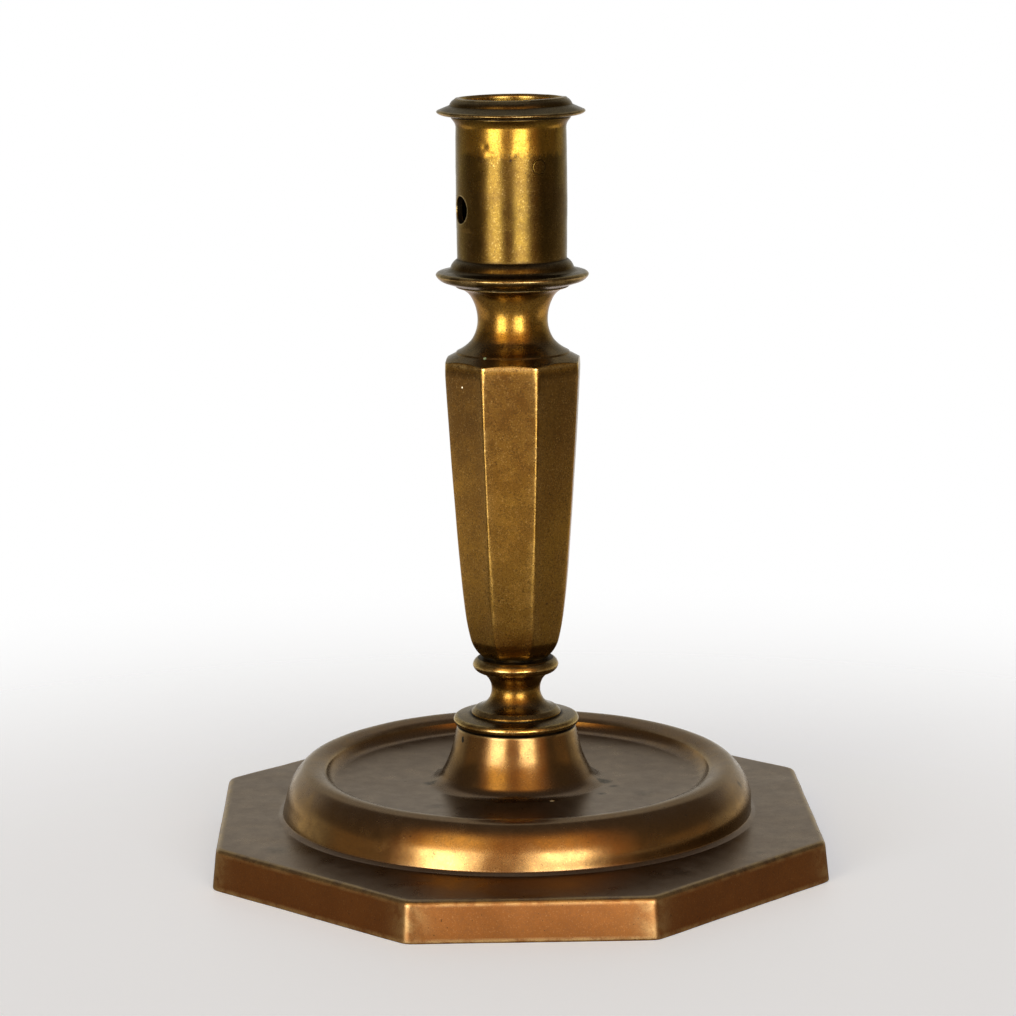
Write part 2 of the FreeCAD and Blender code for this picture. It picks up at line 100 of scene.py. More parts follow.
STEM_OUTLINE = (
    (0.0, 19.6),                           # tenon
    (5.0, 19.6),
    (5.0, NECK_TOP),
    (13.6, NECK_TOP),                      # collar
    (14.55, 31.2, 1.2, OUTWARD),
    (13.9, 32.3, 1.0, OUTWARD),
    (10.3, 32.75),                         # rim of the spool's foot
    (10.2, 33.45, 0.5, OUTWARD),
    (9.4, 34.2),                           # spool
    (5.65, 38.6, 4.38, INWARD),
    (7.55, 42.3, 4.6, INWARD),
    (7.9, 42.6),                           # knop
    (9.95, 44.4, 2.1, OUTWARD),
    (8.8, 45.9, 2.1, OUTWARD),
    (7.6, 46.3),
    (10.75, 50.4, 7.5, OUTWARD),           # baluster as turned
    (12.0, 56.5, 40.0, OUTWARD),
    (16.3, 112.5, 700.0, OUTWARD),
    (16.2, 115.35),
    (13.1, 117.0),                         # shoulder
    (12.85, 117.4),
    (9.4, 120.0, 9.0, INWARD),
    (8.03, 124.6, 8.45, INWARD),           # throat
    (9.2, 129.4, 10.45, INWARD),
    (12.5, 131.95, 4.6, INWARD),
    (12.9, 132.15),                        # disc
    (12.9, STEM_TOP),
    (4.05, STEM_TOP),                      # tapped hole
    (4.05, 120.0),
    (0.0, 120.0),
)

# How far a filed facet is from the axis, from its foot up to its top.
FACET_OUTLINE = (
    (7.5, 46.5),
    (10.04, 50.4, 10.0, OUTWARD),
    (11.2, 56.5, 49.0, OUTWARD),
    (12.45, 69.3, 243.0, OUTWARD),
    (15.18, 112.5, 2500.0, OUTWARD),
    (15.03, 116.4, 30.0, OUTWARD),
)
KNOP_ARRIS = 45.95        # height of the line above the knop painted bright: worn metal and painted highlight
FACET_TURN = -4.7         # the stem's own azimuth: one facet nearly faces the front

SOCKET_OUTLINE = (
    (0.0, 121.0),                          # tenon
    (4.0, 121.0),
    (4.0, STEM_TOP),
    (13.0, STEM_TOP),                      # lower flange
    (15.6, 133.3),
    (17.45, 134.85, 2.8, OUTWARD),
    (16.6, 135.6, 0.9, OUTWARD),
    (15.3, 135.85),
    (14.1, 136.5, 1.6, INWARD),
    (12.5, 138.5, 3.2, OUTWARD),
    (12.66, 152.0),                        # wall
    (12.55, 168.2),
    (13.0, 169.5, 2.2, INWARD),
    (13.6, 170.3),
    (13.55, 170.75),
    (15.6, 171.1),                         # brim
    (16.9, 171.75, 1.6, OUTWARD),
    (16.3, 172.3, 0.7, OUTWARD),
    (13.9, 173.3),
    (12.9, 174.6, 2.2, OUTWARD),           # lip
    (12.45, 175.0),
    (11.65, 175.0),
    (BORE_RADIUS, 174.3),                  # bore
    (BORE_RADIUS, 140.0),
    (0.0, 140.0),
)
HOLE_AZIMUTH = -68.7      # extraction hole
HOLE_HEIGHT = 150.0
HOLE_RADIUS = 3.05
PLUG_AZIMUTH = 28.1       # plugged core hole
PLUG_HEIGHT = 160.0
PLUG_RADIUS = 1.6
PLUG_GAP = 0.03

# Dents in the socket's wall: azimuth, height, half-width, half-height, depth, and lean in degrees.
SOCKET_DENTS = (
    (-23.0, 162.7, 0.9, 0.45, 0.13, 0.0),
    (-30.0, 164.5, 0.6, 0.40, 0.12, 0.0),
    (-7.0, 162.8, 4.8, 0.50, 0.12, -3.0),
    (5.0, 163.6, 1.6, 0.40, 0.08, 40.0),
    (22.0, 165.5, 3.0, 1.10, 0.05, 0.0),
)

FINE_STEP = 0.05          # spacing of the points that an outline is first drawn with
EDGE_SOFTENING = 0.11     # how far every edge is blurred, as wear and casting leave it

# Unevenness: seed, depth, shortest and longest wave. The plug shares the socket's, to stay flush.
FOOT_WAVES = (11, 0.035, 10.0, 45.0)
STEM_WAVES = (23, 0.02, 7.0, 30.0)
SOCKET_WAVES = (37, 0.03, 5.0, 24.0)

# Where the rings of points around a drilled hole lie, as shares of the way from the border of
# the patch to the hole, and through the wall.
PATCH_SHARES = (0.25, 0.5, 0.72, 0.88)
WALL_SHARES = (0.15, 0.35, 0.55, 0.75, 0.9)
RIM_RINGS = 6


# ---------------------------------------------------------------- shapes

def arc(first, last, radius, side):
    """Points along the short arc from first to last, without first."""
    chord = last - first
    length = np.hypot(*chord)
    left = np.array((-chord[1], chord[0])) / length
    centre = (first + last) / 2 + left * side * math.sqrt(radius ** 2 - length ** 2 / 4)
    begin = math.atan2(*(first - centre)[::-1])
    sweep = 2 * math.asin(length / 2 / radius) * side
    count = max(2, math.ceil(abs(sweep) * radius / FINE_STEP))
    angles = begin + sweep * np.arange(1, count + 1) / count
    return centre + radius * np.stack([np.cos(angles), np.sin(angles)], 1)


def fine_points(outline, closed):
    """Closely spaced points along an outline."""
    corners = [np.array(entry[:2], float) for entry in outline]
    points = [] if closed else [corners[0][None]]
    for i in range(0 if closed else 1, len(outline)):
        first, last = corners[i - 1], corners[i]
        if len(outline[i]) > 2:
            points.append(arc(first, last, *outline[i][2:]))
            continue
        count = max(1, math.ceil(np.hypot(*(last - first)) / FINE_STEP))
        share = np.arange(1, count + 1)[:, None] / count
        points.append(first + (last - first) * share)
    return np.concatenate(points)


def blurred(points, closed, reach):
    """Points with each one averaged over its neighbours: this rounds off the edges."""
    count = max(1, round(3 * reach / FINE_STEP))
    weights = np.exp(-0.5 * (np.arange(-count, count + 1) * FINE_STEP / reach) ** 2)
    weights /= weights.sum()
    if closed:
        padded = np.concatenate([points[-count:], points, points[:count]])
    else:
        before = points[1:count + 1][::-1] * (-1, 1)
        after = points[-count - 1:-1][::-1] * (-1, 1)
        padded = np.concatenate([before, points, after])
    columns = [np.convolve(padded[:, k], weights, "valid") for k in range(2)]
    return np.stack(columns, 1)


def tangents(points, closed):
    """The unit direction of travel at each point."""
    if closed:
        steps = np.roll(points, -1, 0) - np.roll(points, 1, 0)
    else:
        steps = np.gradient(points, axis=0)
    return steps / np.maximum(np.hypot(steps[:, 0], steps[:, 1]), 1e-9)[:, None]


def stations(points, closed, widest, sharpest=8.0):
    """Where to put the mesh's rows: widest is their greatest spacing, sharpest their greatest turn."""
    ahead = tangents(points, closed)
    turn = np.abs(np.cross(np.roll(ahead, 1, 0), ahead))
    if not closed:
        turn[0] = 0
    steps = np.hypot(*(points - np.roll(points, 1, 0)).T)
    steps[0] = 0
    density = steps / widest(points) + turn / math.radians(sharpest)
    total = np.cumsum(density)
    count = math.ceil(total[-1])
    wanted = np.linspace(0, total[-1], count, endpoint=not closed)
    return np.interp(wanted, total, np.arange(len(points)))


def edge_and_cavity(points, closed, rows):
    """How much each row stands out as an edge (0 to 1), and how deep it lies in a hollow."""
    blur = 0.45                  # bends finer than this don't count
    blunt, contrast = 0.2, 1.8   # a bend of less than this (1/mm) is no edge
    nearest, reach = 0.15, 5.0   # how far away the metal may be that makes a place a hollow
    deepest = 1.2
    smooth = blurred(points, closed, blur)
    ahead = tangents(smooth, closed)
    bend = np.cross(np.roll(ahead, 1, 0), np.roll(ahead, -1, 0)) / (2 * FINE_STEP)
    number = np.arange(len(points))
    edge = np.clip((np.interp(rows, number, bend) - blunt) * contrast, 0, 1)
    at = np.stack([np.interp(rows, number, points[:, k]) for k in range(2)], 1)
    way = np.stack([np.interp(rows, number, ahead[:, k]) for k in range(2)], 1)
    out = np.stack([way[:, 1], -way[:, 0]], 1)
    others = points[::4]
    gap = others[None] - at[:, None]
    distance = np.maximum(np.hypot(gap[..., 0], gap[..., 1]), 1e-6)
    rise = (gap * out[:, None]).sum(2) / distance
    along = (gap * way[:, None]).sum(2)
    weight = np.clip(1 - distance / reach, 0, 1) * (distance > nearest)
    blocked = np.clip(rise, 0, 1) * weight
    before = np.where(along < 0, blocked, 0).max(1)
    after = np.where(along > 0, blocked, 0).max(1)
    return edge, np.clip((before + after) / deepest, 0, 1)


def soft_radius(facing, reach, sharpness):
    """Radius that keeps within every limit facing * radius <= reach, and how near two limits meet.

    Corners between limits come out rounded, the sharper the higher the sharpness (1/mm).
    """
    least = 0.2         # a limit that faces further aside than this has no say at first
    newton_steps = 8
    spread = 0.35       # the second result fades more slowly than the corner itself rounds off
    with np.errstate(divide="ignore"):
        radius = np.where(facing > least, reach / np.maximum(facing, least), 1e6).min(0)
    for _ in range(newton_steps):
        excess = sharpness * (radius * facing - reach)
        top = excess.max(0)
        parts = np.exp(excess - top)
        total = parts.sum(0)
        share = parts / total
        radius = radius - (top + np.log(total)) / sharpness / (share * facing).sum(0)
    excess = spread * sharpness * (radius * facing - reach)
    parts = np.exp(excess - excess.max(0))
    share = parts / parts.sum(0)
    return radius, np.clip(2 * (1 - (share ** 2).sum(0)), 0, 1)


def crowded_angles(centres, count, crowding=7.0, width=1.6):
    """Azimuths all around in radians, closer together near the given ones in degrees."""
    per_degree = 40
    fine = np.linspace(-180, 180, 360 * per_degree + 1)
    density = np.ones_like(fine)
    for centre in centres:
        away = (fine - centre + 180) % 360 - 180
        density += crowding * np.exp(-0.5 * (away / width) ** 2)
    total = np.concatenate([[0], np.cumsum((density[1:] + density[:-1]) / 2)])
    wanted = np.linspace(0, total[-1], count, endpoint=False)
    return np.radians(np.interp(wanted, total, fine))


def smoothstep(low, high, value):
    """0 below low, 1 above high, and a smooth ramp between."""
    share = np.clip((value - low) / (high - low), 0, 1)
    return share * share * (3 - 2 * share)


def linked(name, data):
    """A new object with this mesh or camera, in the scene."""
    thing = bpy.data.objects.new(name, data)
    bpy.context.scene.collection.objects.link(thing)
    return thing


def store(data, label, values):
    """Keeps one number for each point of the mesh, for the materials to read."""
    attribute = data.attributes.new(label, "FLOAT", "POINT")
    attribute.data.foreach_set("value", values.astype(np.float32))


def directions(azimuth):
    """Unit vectors to the right and outward, as seen by someone who faces the azimuth's side."""
    turn = math.radians(azimuth)
    return np.array((math.cos(turn), math.sin(turn))), np.array((math.sin(turn), -math.cos(turn)))


class Casting:
    """A mesh in the making: rows and columns of points, their attributes, and faces."""

    def __init__(self, radius, height, azimuths, edge, cavity, closed):
        rows, columns = radius.shape
        self.closed = closed
        self.shape = (rows, columns)
        self.azimuths = azimuths
        self.radius = radius
        self.height = np.broadcast_to(height, radius.shape)
        x = radius * np.sin(azimuths)
        y = -radius * np.cos(azimuths)
        self.points = np.stack([x, y, self.height], 2).reshape(-1, 3)
        self.edge = np.broadcast_to(edge, radius.shape).reshape(-1)
        self.cavity = np.broadcast_to(cavity, radius.shape).reshape(-1)
        self.kept = np.ones((rows if closed else rows - 1, columns), bool)
        self.faces = []

    def index(self, row, column):
        """The number of a grid point; rows and columns go on around."""
        rows, columns = self.shape
        return (row % rows) * columns + column % columns

    def quads(self):
        """The grid's faces: quads, and triangles at the ends where a row is one point on the axis."""
        rows, columns = self.shape
        faces = []
        for i in range(self.kept.shape[0]):
            for j in np.nonzero(self.kept[i])[0]:
                a, b = self.index(i, j), self.index(i, j + 1)
                c, d = self.index(i + 1, j + 1), self.index(i + 1, j)
                if not self.closed and i == 0:
                    faces.append((self.index(0, 0), c, d))
                elif not self.closed and i == rows - 2:
                    faces.append((a, b, self.index(rows - 1, 0)))
                else:
                    faces.append((a, b, c, d))
        return faces

    def open_patch(self, row, way, middle, half, half_rows):
        """Takes a patch of faces out of the grid and numbers the points around it.

        way is 1 on the outer side of the wall and -1 on the inner one, where the rows run down.
        """
        loop = [(-half_rows, j) for j in range(-half, half)]
        loop += [(i, half) for i in range(-half_rows, half_rows)]
        loop += [(half_rows, j) for j in range(half, -half, -1)]
        loop += [(i, -half) for i in range(half_rows, -half_rows, -1)]
        for i in range(row - half_rows, row + half_rows):
            for j in range(middle - half, middle + half):
                self.kept[i, j % self.shape[1]] = False
        return [self.index(row + way * i, middle + j) for i, j in loop]

    def add_ring(self, points, edge, cavity):
        """Adds a closed ring of points and gives back their numbers."""
        start = len(self.points)
        self.points = np.concatenate([self.points, points])
        self.edge = np.concatenate([self.edge, np.full(len(points), edge)])
        self.cavity = np.concatenate([self.cavity, np.full(len(points), cavity)])
        return list(range(start, start + len(points)))

    def drill(self, azimuth, height, hole, rim, half_width, half_rows, wear):
        """A round hole through the wall, square to it at its middle, with rounded rims.

        A patch of faces around it gives way to rings that run from the patch's border
        in to the hole, through the wall and out to the same patch on the inner side.
        wear, from 0 to 1, is how bright the outer rim is.
        """
        side, out = directions(azimuth)
        columns = self.shape[1]
        off_height = np.abs(self.height[:, 0] - height)
        row_radius = self.radius[:, 0]
        on_bore = row_radius < (BORE_RADIUS + WALL_RADIUS) / 2
        far = 100.0
        outer_row = int(np.argmin(off_height + far * on_bore))
        inner_row = int(np.argmin(off_height + far * ~on_bore))
        off_azimuth = self.azimuths - math.radians(azimuth) + math.pi
        middle = int(np.argmin(np.abs(off_azimuth % (2 * math.pi) - math.pi)))
        half = int(round(math.asin(half_width / WALL_RADIUS) / (2 * math.pi / columns)))
        borders = [self.open_patch(row, way, middle, half, half_rows)
                   for row, way in ((outer_row, 1), (inner_row, -1))]
        limits = [(self.points[ring][:, :2] @ side, self.points[ring][:, 2] - height) for ring in borders]
        turns = np.arctan2(limits[0][1], limits[0][0])
        circle = np.stack([np.cos(turns), np.sin(turns)])

        # Each ring: which face it is on, its share of the way, its radius, its depth below the
        # face, and its two attributes.
        rounding = [(hole + rim * (1 - math.sin(angle)), rim * (1 - math.cos(angle)))
                    for angle in np.radians(np.linspace(0, 90, RIM_RINGS))]
        steps = [("outer", share, hole + rim, 0.0, 0.0, 0.0) for share in PATCH_SHARES]
        steps += [("outer", 1.0, size, depth, wear, 0.7 * (1 - wear)) for size, depth in rounding]
        # Through the wall the cavity is full, so the hole's wall is darkened: dirt and painted shade.
        steps += [("through", share, hole, rim, 0.0, 1.0) for share in WALL_SHARES]
        steps += [("inner", 1.0, size, depth, 0.5, 0.4) for size, depth in rounding[::-1]]
        steps += [("inner", share, hole + rim, 0.0, 0.0, 0.0) for share in PATCH_SHARES[::-1]]
        made = [borders[0]]
        for face, share, size, depth, edge, cavity in steps:
            limit = limits[1] if face == "inner" else limits[0]
            blend = 1.0 if face == "through" else share
            across = limit[0] * (1 - blend) + size * circle[0] * blend
            up = limit[1] * (1 - blend) + size * circle[1] * blend
            outer = np.sqrt(row_radius[outer_row] ** 2 - across ** 2) - depth
            inner = np.sqrt(row_radius[inner_row] ** 2 - across ** 2) + depth
            inward = {"outer": 0.0, "through": share, "inner": 1.0}[face]
            away = outer * (1 - inward) + inner * inward
            flat = across[:, None] * side + away[:, None] * out
            ring = np.concatenate([flat, (height + up)[:, None]], 1)
            made.append(self.add_ring(ring, edge, cavity))
        made.append(borders[1])
        for near, far in zip(made, made[1:]):
            for k in range(len(near)):
                following = (k + 1) % len(near)
                self.faces.append((near[k], near[following], far[following], far[k]))

    def mesh(self, name):
        """The finished mesh object, in metres, linked to the scene, with smooth shading."""
        faces = self.quads() + self.faces
        used = np.zeros(len(self.points), bool)
        for face in faces:
            used[list(face)] = True
        renumber = np.cumsum(used) - 1
        data = bpy.data.meshes.new(name)
        corners = [tuple(int(renumber[k]) for k in face) for face in faces]
        data.from_pydata((self.points[used] * MM).tolist(), [], corners)
        data.update()
        data.shade_smooth()
        store(data, "edge", self.edge[used])
        store(data, "cavity", self.cavity[used])
        normals = np.empty(len(data.vertices) * 3)
        data.vertex_normals.foreach_get("vector", normals)
        store(data, "upward", normals[2::3])
        return linked(name, data)


def read_points(thing):
    """The mesh's points in millimetres."""
    flat = np.empty(len(thing.data.vertices) * 3)
    thing.data.vertices.foreach_get("co", flat)
    return flat.reshape(-1, 3) / MM


def write_points(thing, points):
    """Puts the mesh's points, in millimetres, back."""
    thing.data.vertices.foreach_set("co", (points * MM).reshape(-1))
    thing.data.update()


def read_normals(thing):
    """The mesh's point normals."""
    flat = np.empty(len(thing.data.vertices) * 3)
    thing.data.vertex_normals.foreach_get("vector", flat)
    return flat.reshape(-1, 3)


def waves(points, seed, shortest, longest, count=14):
    """A smooth random field: plane waves of random direction, about 1 high."""
    draw = np.random.default_rng(seed)
    field = np.zeros(len(points))
    for _ in range(count):
        way = draw.normal(size=3)
        way /= np.linalg.norm(way)
        length = shortest * (longest / shortest) ** draw.random()
        field += np.sin(points @ way * (2 * math.pi / length) + draw.random() * 2 * math.pi)
    return field * math.sqrt(2 / count)


def cast_uneven(thing, seed, depth, shortest, longest):
    """Moves the surface inward by up to twice the depth, in soft waves."""
    steepness = 0.8
    points = read_points(thing)
    field = np.tanh(waves(points, seed, shortest, longest) * steepness) - 1
    write_points(thing, points + read_normals(thing) * (field * depth)[:, None])


def dent(thing, azimuth, height, across, up, depth, lean):
    """A soft hollow of the given half-sizes; lean turns it on the surface, in degrees."""
    points = read_points(thing)
    normals = read_normals(thing)
    side, out = directions(azimuth)
    beside = points[:, :2] @ side
    facing = points[:, :2] @ out
    above = points[:, 2] - height
    tilt = math.radians(lean)
    u = beside * math.cos(tilt) + above * math.sin(tilt)
    v = -beside * math.sin(tilt) + above * math.cos(tilt)
    weight = np.exp(-0.5 * ((u / across) ** 2 + (v / up) ** 2)) * (facing > 0)
    outside = (normals[:, :2] * points[:, :2]).sum(1) > 0
    write_points(thing, points - normals * (depth * weight * outside)[:, None])


def buckle_rims(socket):
    """The thin brim and lip have become slightly wavy: they dip here and there."""
    seed, shortest, longest, dip = 71, 9.0, 26.0, 0.16
    points = read_points(socket)
    radius = np.hypot(points[:, 0], points[:, 1])
    share = smoothstep(170.2, 171.6, points[:, 2]) * smoothstep(11.0, 12.5, radius)
    flat = points * (1, 1, 0)
    points[:, 2] += dip * share * (np.tanh(waves(flat, seed, shortest, longest)) - 1)
    write_points(socket, points)


def profile(outline, closed, widest):
    """The rows of a turned piece: radius, height, edge and cavity of each."""
    fine = blurred(fine_points(outline, closed), closed, EDGE_SOFTENING)
    rows = stations(fine, closed, widest)
    number = np.arange(len(fine))
    radius = np.interp(rows, number, fine[:, 0])
    height = np.interp(rows, number, fine[:, 1])
    return radius, height, *edge_and_cavity(fine, closed, rows)


def make_foot():
    """The octagonal plinth with its ring, drip well and neck, hollow below."""
    row_spacing, columns = 1.1, 448
    corner_sharpness, corner_wear = 2.6, 0.75
    radius, height, edge, cavity = profile(FOOT_OUTLINE, True, lambda points: row_spacing)
    middles = SIDE_TURN * np.arange(SIDES)
    azimuths = crowded_angles(middles + SIDE_TURN / 2, columns)
    facing = np.cos(azimuths[None] - np.radians(middles)[:, None])
    share = smoothstep(ROUND_WITHIN, OCTAGONAL_BEYOND, radius)
    inset = FLAT - radius
    reach = np.array(FLATS)[:, None, None] - inset[None, :, None]
    around, corner = soft_radius(facing[:, None, :], reach, corner_sharpness)
    outline = radius[:, None] * (1 - share[:, None]) + around * share[:, None]
    # The plinth's upright corners are worn, between its two faces.
    on_side = share * smoothstep(0.3, 2.0, height) * smoothstep(PLATE_HEIGHT, 9.3, height)
    worn = np.maximum(edge[:, None], corner_wear * corner * on_side[:, None])
    # Dirt and painted shade are heavy under the collar, and lighter in the hollows that a cloth can
    # reach.
    under_collar = smoothstep(29.5, 30.0, height) * (radius > 12.5) * (radius < 14.5)
    open_side = (height > 9.4) * (radius > 5.2)
    cavity = np.maximum(cavity * np.where(open_side, 0.45, 1.0), under_collar)
    casting = Casting(outline, height[:, None], azimuths, worn, cavity[:, None], True)
    foot = casting.mesh("foot_casting")
    settle_ring(foot)
    return foot


def settle_ring(foot):
    """The ring around the well was never quite true: it sits off centre and higher at the rear."""
    aside, rear_rise, front_drop = 0.44, 0.6, 0.7
    points = read_points(foot)
    radius = np.hypot(points[:, 0], points[:, 1])
    share = smoothstep(42.2, 46.5, radius) * smoothstep(10.2, 14.0, points[:, 2])
    lean = points[:, 1] / 48
    points[:, 0] += aside * share
    points[:, 2] += share * np.where(lean > 0, rear_rise, front_drop) * lean
    write_points(foot, points)


def stand(foot):
    """Nothing of the foot reaches below the surface it stands on."""
    points = read_points(foot)
    points[:, 2] = np.maximum(points[:, 2], 0.0)
    write_points(foot, points)


def make_stem():
    """The turned baluster with eight filed facets."""
    row_spacing, shoulder_spacing, columns = 0.45, 0.07, 384
    arris_sharpness, arris_wear = 11.0, 0.12
    unfiled = 99.0               # the facets' reach where there are none

    def widest(points):
        radius, height = points.T
        shoulder = (height > 114.9) & (height < 117.1) & (radius > 12)
        return np.where(shoulder, shoulder_spacing, row_spacing)

    radius, height, edge, cavity = profile(STEM_OUTLINE, False, widest)
    # A bright line above the knop: worn metal and a painted highlight.
    knop_wear_and_highlight = np.exp(-0.5 * ((height - KNOP_ARRIS) / 0.12) ** 2) * (radius > 8.0)
    edge = np.maximum(edge, knop_wear_and_highlight)
    filed = fine_points(FACET_OUTLINE, False)
    reach = np.interp(height, filed[:, 1], filed[:, 0], left=unfiled, right=unfiled)
    middles = SIDE_TURN * np.arange(SIDES) + FACET_TURN
    azimuths = crowded_angles(middles + SIDE_TURN / 2, columns, crowding=5.0, width=2.2)
    # The turned shape is a ninth limit, which faces every way.
    facing = np.cos(azimuths[None] - np.radians(middles)[:, None])
    facing = np.concatenate([facing, np.ones((1, len(azimuths)))])
    limits = np.concatenate([np.repeat(reach[None], SIDES, 0), radius[None]])
    around, corner = soft_radius(facing[:, None, :], limits[:, :, None], arris_sharpness)
    filed_here = (reach < unfiled) & (radius > 7)
    outline = np.where(filed_here[:, None], around, radius[:, None])
    worn = np.maximum(edge[:, None], corner * filed_here[:, None] * arris_wear)
    # The joints under the collar and under the socket's flange are darkened as hollows: dirt and painted
    # shade.
    low_joint = smoothstep(31.0, 30.6, height) * (radius > 12.5)
    high_joint = smoothstep(131.9, 132.3, height) * (radius > 12.0)
    cavity = np.maximum(cavity, np.maximum(low_joint, 0.8 * high_joint))
    casting = Casting(outline, height[:, None], azimuths, worn, cavity[:, None], False)
    return casting.mesh("stem_casting")


def make_socket():
    """The candle socket with its extraction hole and its plugged core hole."""
    row_spacing, columns = 0.4, 288
    radius, height, edge, cavity = profile(SOCKET_OUTLINE, False, lambda points: row_spacing)
    # The bore is darkened deeper down as a hollow: dirt and painted shade.
    bore = smoothstep(172.0, 168.0, height) * (radius < 11.6)
    cavity = np.maximum(cavity, bore)
    azimuths = np.radians(np.linspace(-180, 180, columns, endpoint=False))
    outline = radius[:, None] * np.ones((1, columns))
    casting = Casting(outline, height[:, None], azimuths, edge[:, None], cavity[:, None], False)
    casting.drill(HOLE_AZIMUTH, HOLE_HEIGHT, HOLE_RADIUS,
                  rim=0.2, half_width=4.9, half_rows=12, wear=1.0)
    casting.drill(PLUG_AZIMUTH, PLUG_HEIGHT, PLUG_RADIUS + PLUG_GAP,
                  rim=0.05, half_width=2.9, half_rows=7, wear=0.0)
    return casting.mesh("socket_casting")


def make_plug():
    """The plug: a short pin whose ends follow the socket's wall."""
    segments = 48
    inner = BORE_RADIUS + 0.05
    side, out = directions(PLUG_AZIMUTH)
    # Each ring: its radius, and the radius of the cylinder around the stem's axis it lies on.
    rings = [(0.5, WALL_RADIUS), (1.0, WALL_RADIUS), (1.35, WALL_RADIUS), (1.5, WALL_RADIUS),
             (1.57, WALL_RADIUS - 0.03), (PLUG_RADIUS, WALL_RADIUS - 0.09),
             (PLUG_RADIUS, WALL_RADIUS - 0.4), (PLUG_RADIUS, WALL_RADIUS - 1.0),
             (PLUG_RADIUS, inner + 0.05), (1.5, inner), (0.8, inner)]
    points = []
    for size, wall in rings:
        for angle in 2 * math.pi * np.arange(segments) / segments:
            across = size * math.cos(angle)
            flat = side * across + out * math.sqrt(wall ** 2 - across ** 2)
            points.append((*flat, PLUG_HEIGHT + size * math.sin(angle)))
    points.append((*(out * WALL_RADIUS), PLUG_HEIGHT))
    points.append((*(out * inner), PLUG_HEIGHT))
    faces = []
    for i in range(len(rings) - 1):
        for k in range(segments):
            following = (k + 1) % segments
            a, b = i * segments + k, i * segments + following
            faces.append((b, a, a + segments, b + segments))
    front, back = len(points) - 2, len(points) - 1
    last = (len(rings) - 1) * segments
    for k in range(segments):
        following = (k + 1) % segments
        faces.append((front, k, following))
        faces.append((back, last + following, last + k))
    data = bpy.data.meshes.new("core_plug")
    data.from_pydata((np.array(points) * MM).tolist(), [], faces)
    data.update()
    data.shade_smooth()
    for label in ("edge", "cavity", "upward"):
        store(data, label, np.zeros(len(points)))
    return linked("core_plug", data)


# ---------------------------------------------------------------- materials

def colour(red, green, blue):
    """A linear colour with full alpha."""
    return (red, green, blue, 1.0)


# Near black for hollows, joints, pits and specks: dirt, and painted shade where it darkens hollows and
# joints.
GRIME_AND_SHADE = colour(0.014, 0.010, 0.005)
# Darkens the socket's front right: darker film and a painted shade that dims the window's reflection
# there.
DARK_FILM_AND_SHADE = colour(0.038, 0.022, 0.004)
STAIN = colour(0.03, 0.018, 0.010)
SMEAR = colour(0.07, 0.05, 0.035)
LIGHT_SPECK = colour(0.85, 0.78, 0.58)
GREEN_SPECK = colour(0.12, 0.16, 0.09)
MATTE = (LIGHT_SPECK, GREEN_SPECK)   # these are crusts, not metal

# Finishes. metal is bare, patina is under the brown film, dull and worn speckle it, dusty lies
# on upward faces. cover is how much the film covers, coat how much it shines by itself.
FOOT_FINISH = {
    "metal": colour(0.29, 0.195, 0.115), "patina": colour(0.215, 0.140, 0.085),
    "dull": colour(0.11, 0.065, 0.034), "worn": colour(0.52, 0.37, 0.16),
    "dusty": colour(0.20, 0.165, 0.138), "dust": 0.6,
    "roughness": 0.20, "cover": 0.6, "speckle": 0.32, "relief": 1.2, "coat": 0.18,
}
STEM_FINISH = {
    "metal": colour(0.31, 0.168, 0.019), "patina": colour(0.21, 0.106, 0.013),
    "dull": colour(0.06, 0.034, 0.008), "worn": colour(0.58, 0.42, 0.16),
    "dusty": colour(0.125, 0.110, 0.080), "dust": 0.85,
    "roughness": 0.23, "cover": 0.6, "speckle": 0.65, "relief": 1.6, "coat": 0.14,
}
SOCKET_FINISH = {
    "metal": colour(0.105, 0.062, 0.007), "patina": colour(0.070, 0.036, 0.005),
    "dull": colour(0.038, 0.018, 0.004), "worn": colour(0.45, 0.33, 0.14),
    "dusty": colour(0.120, 0.105, 0.075), "dust": 0.75,
    "roughness": 0.24, "cover": 0.5, "speckle": 0.45, "relief": 1.4, "coat": 0.10,
}

# What multiplies the colour in some zones.
NECK_TINT = colour(0.86, 0.72, 0.36)
SIDE_TINT = colour(0.90, 0.50, 0.17)
RING_TINT = colour(1.10, 0.92, 0.46)
# Brightens the socket's top front: worn thin film and a painted highlight.
THIN_FILM_AND_HIGHLIGHT_TINT = colour(2.5, 2.4, 2.2)
MOUTH_TINT = colour(4.0, 4.0, 3.2)
# Painted shade: the upper facets are darkened.
UPPER_SHADE_TINT = colour(0.60, 0.57, 0.60)

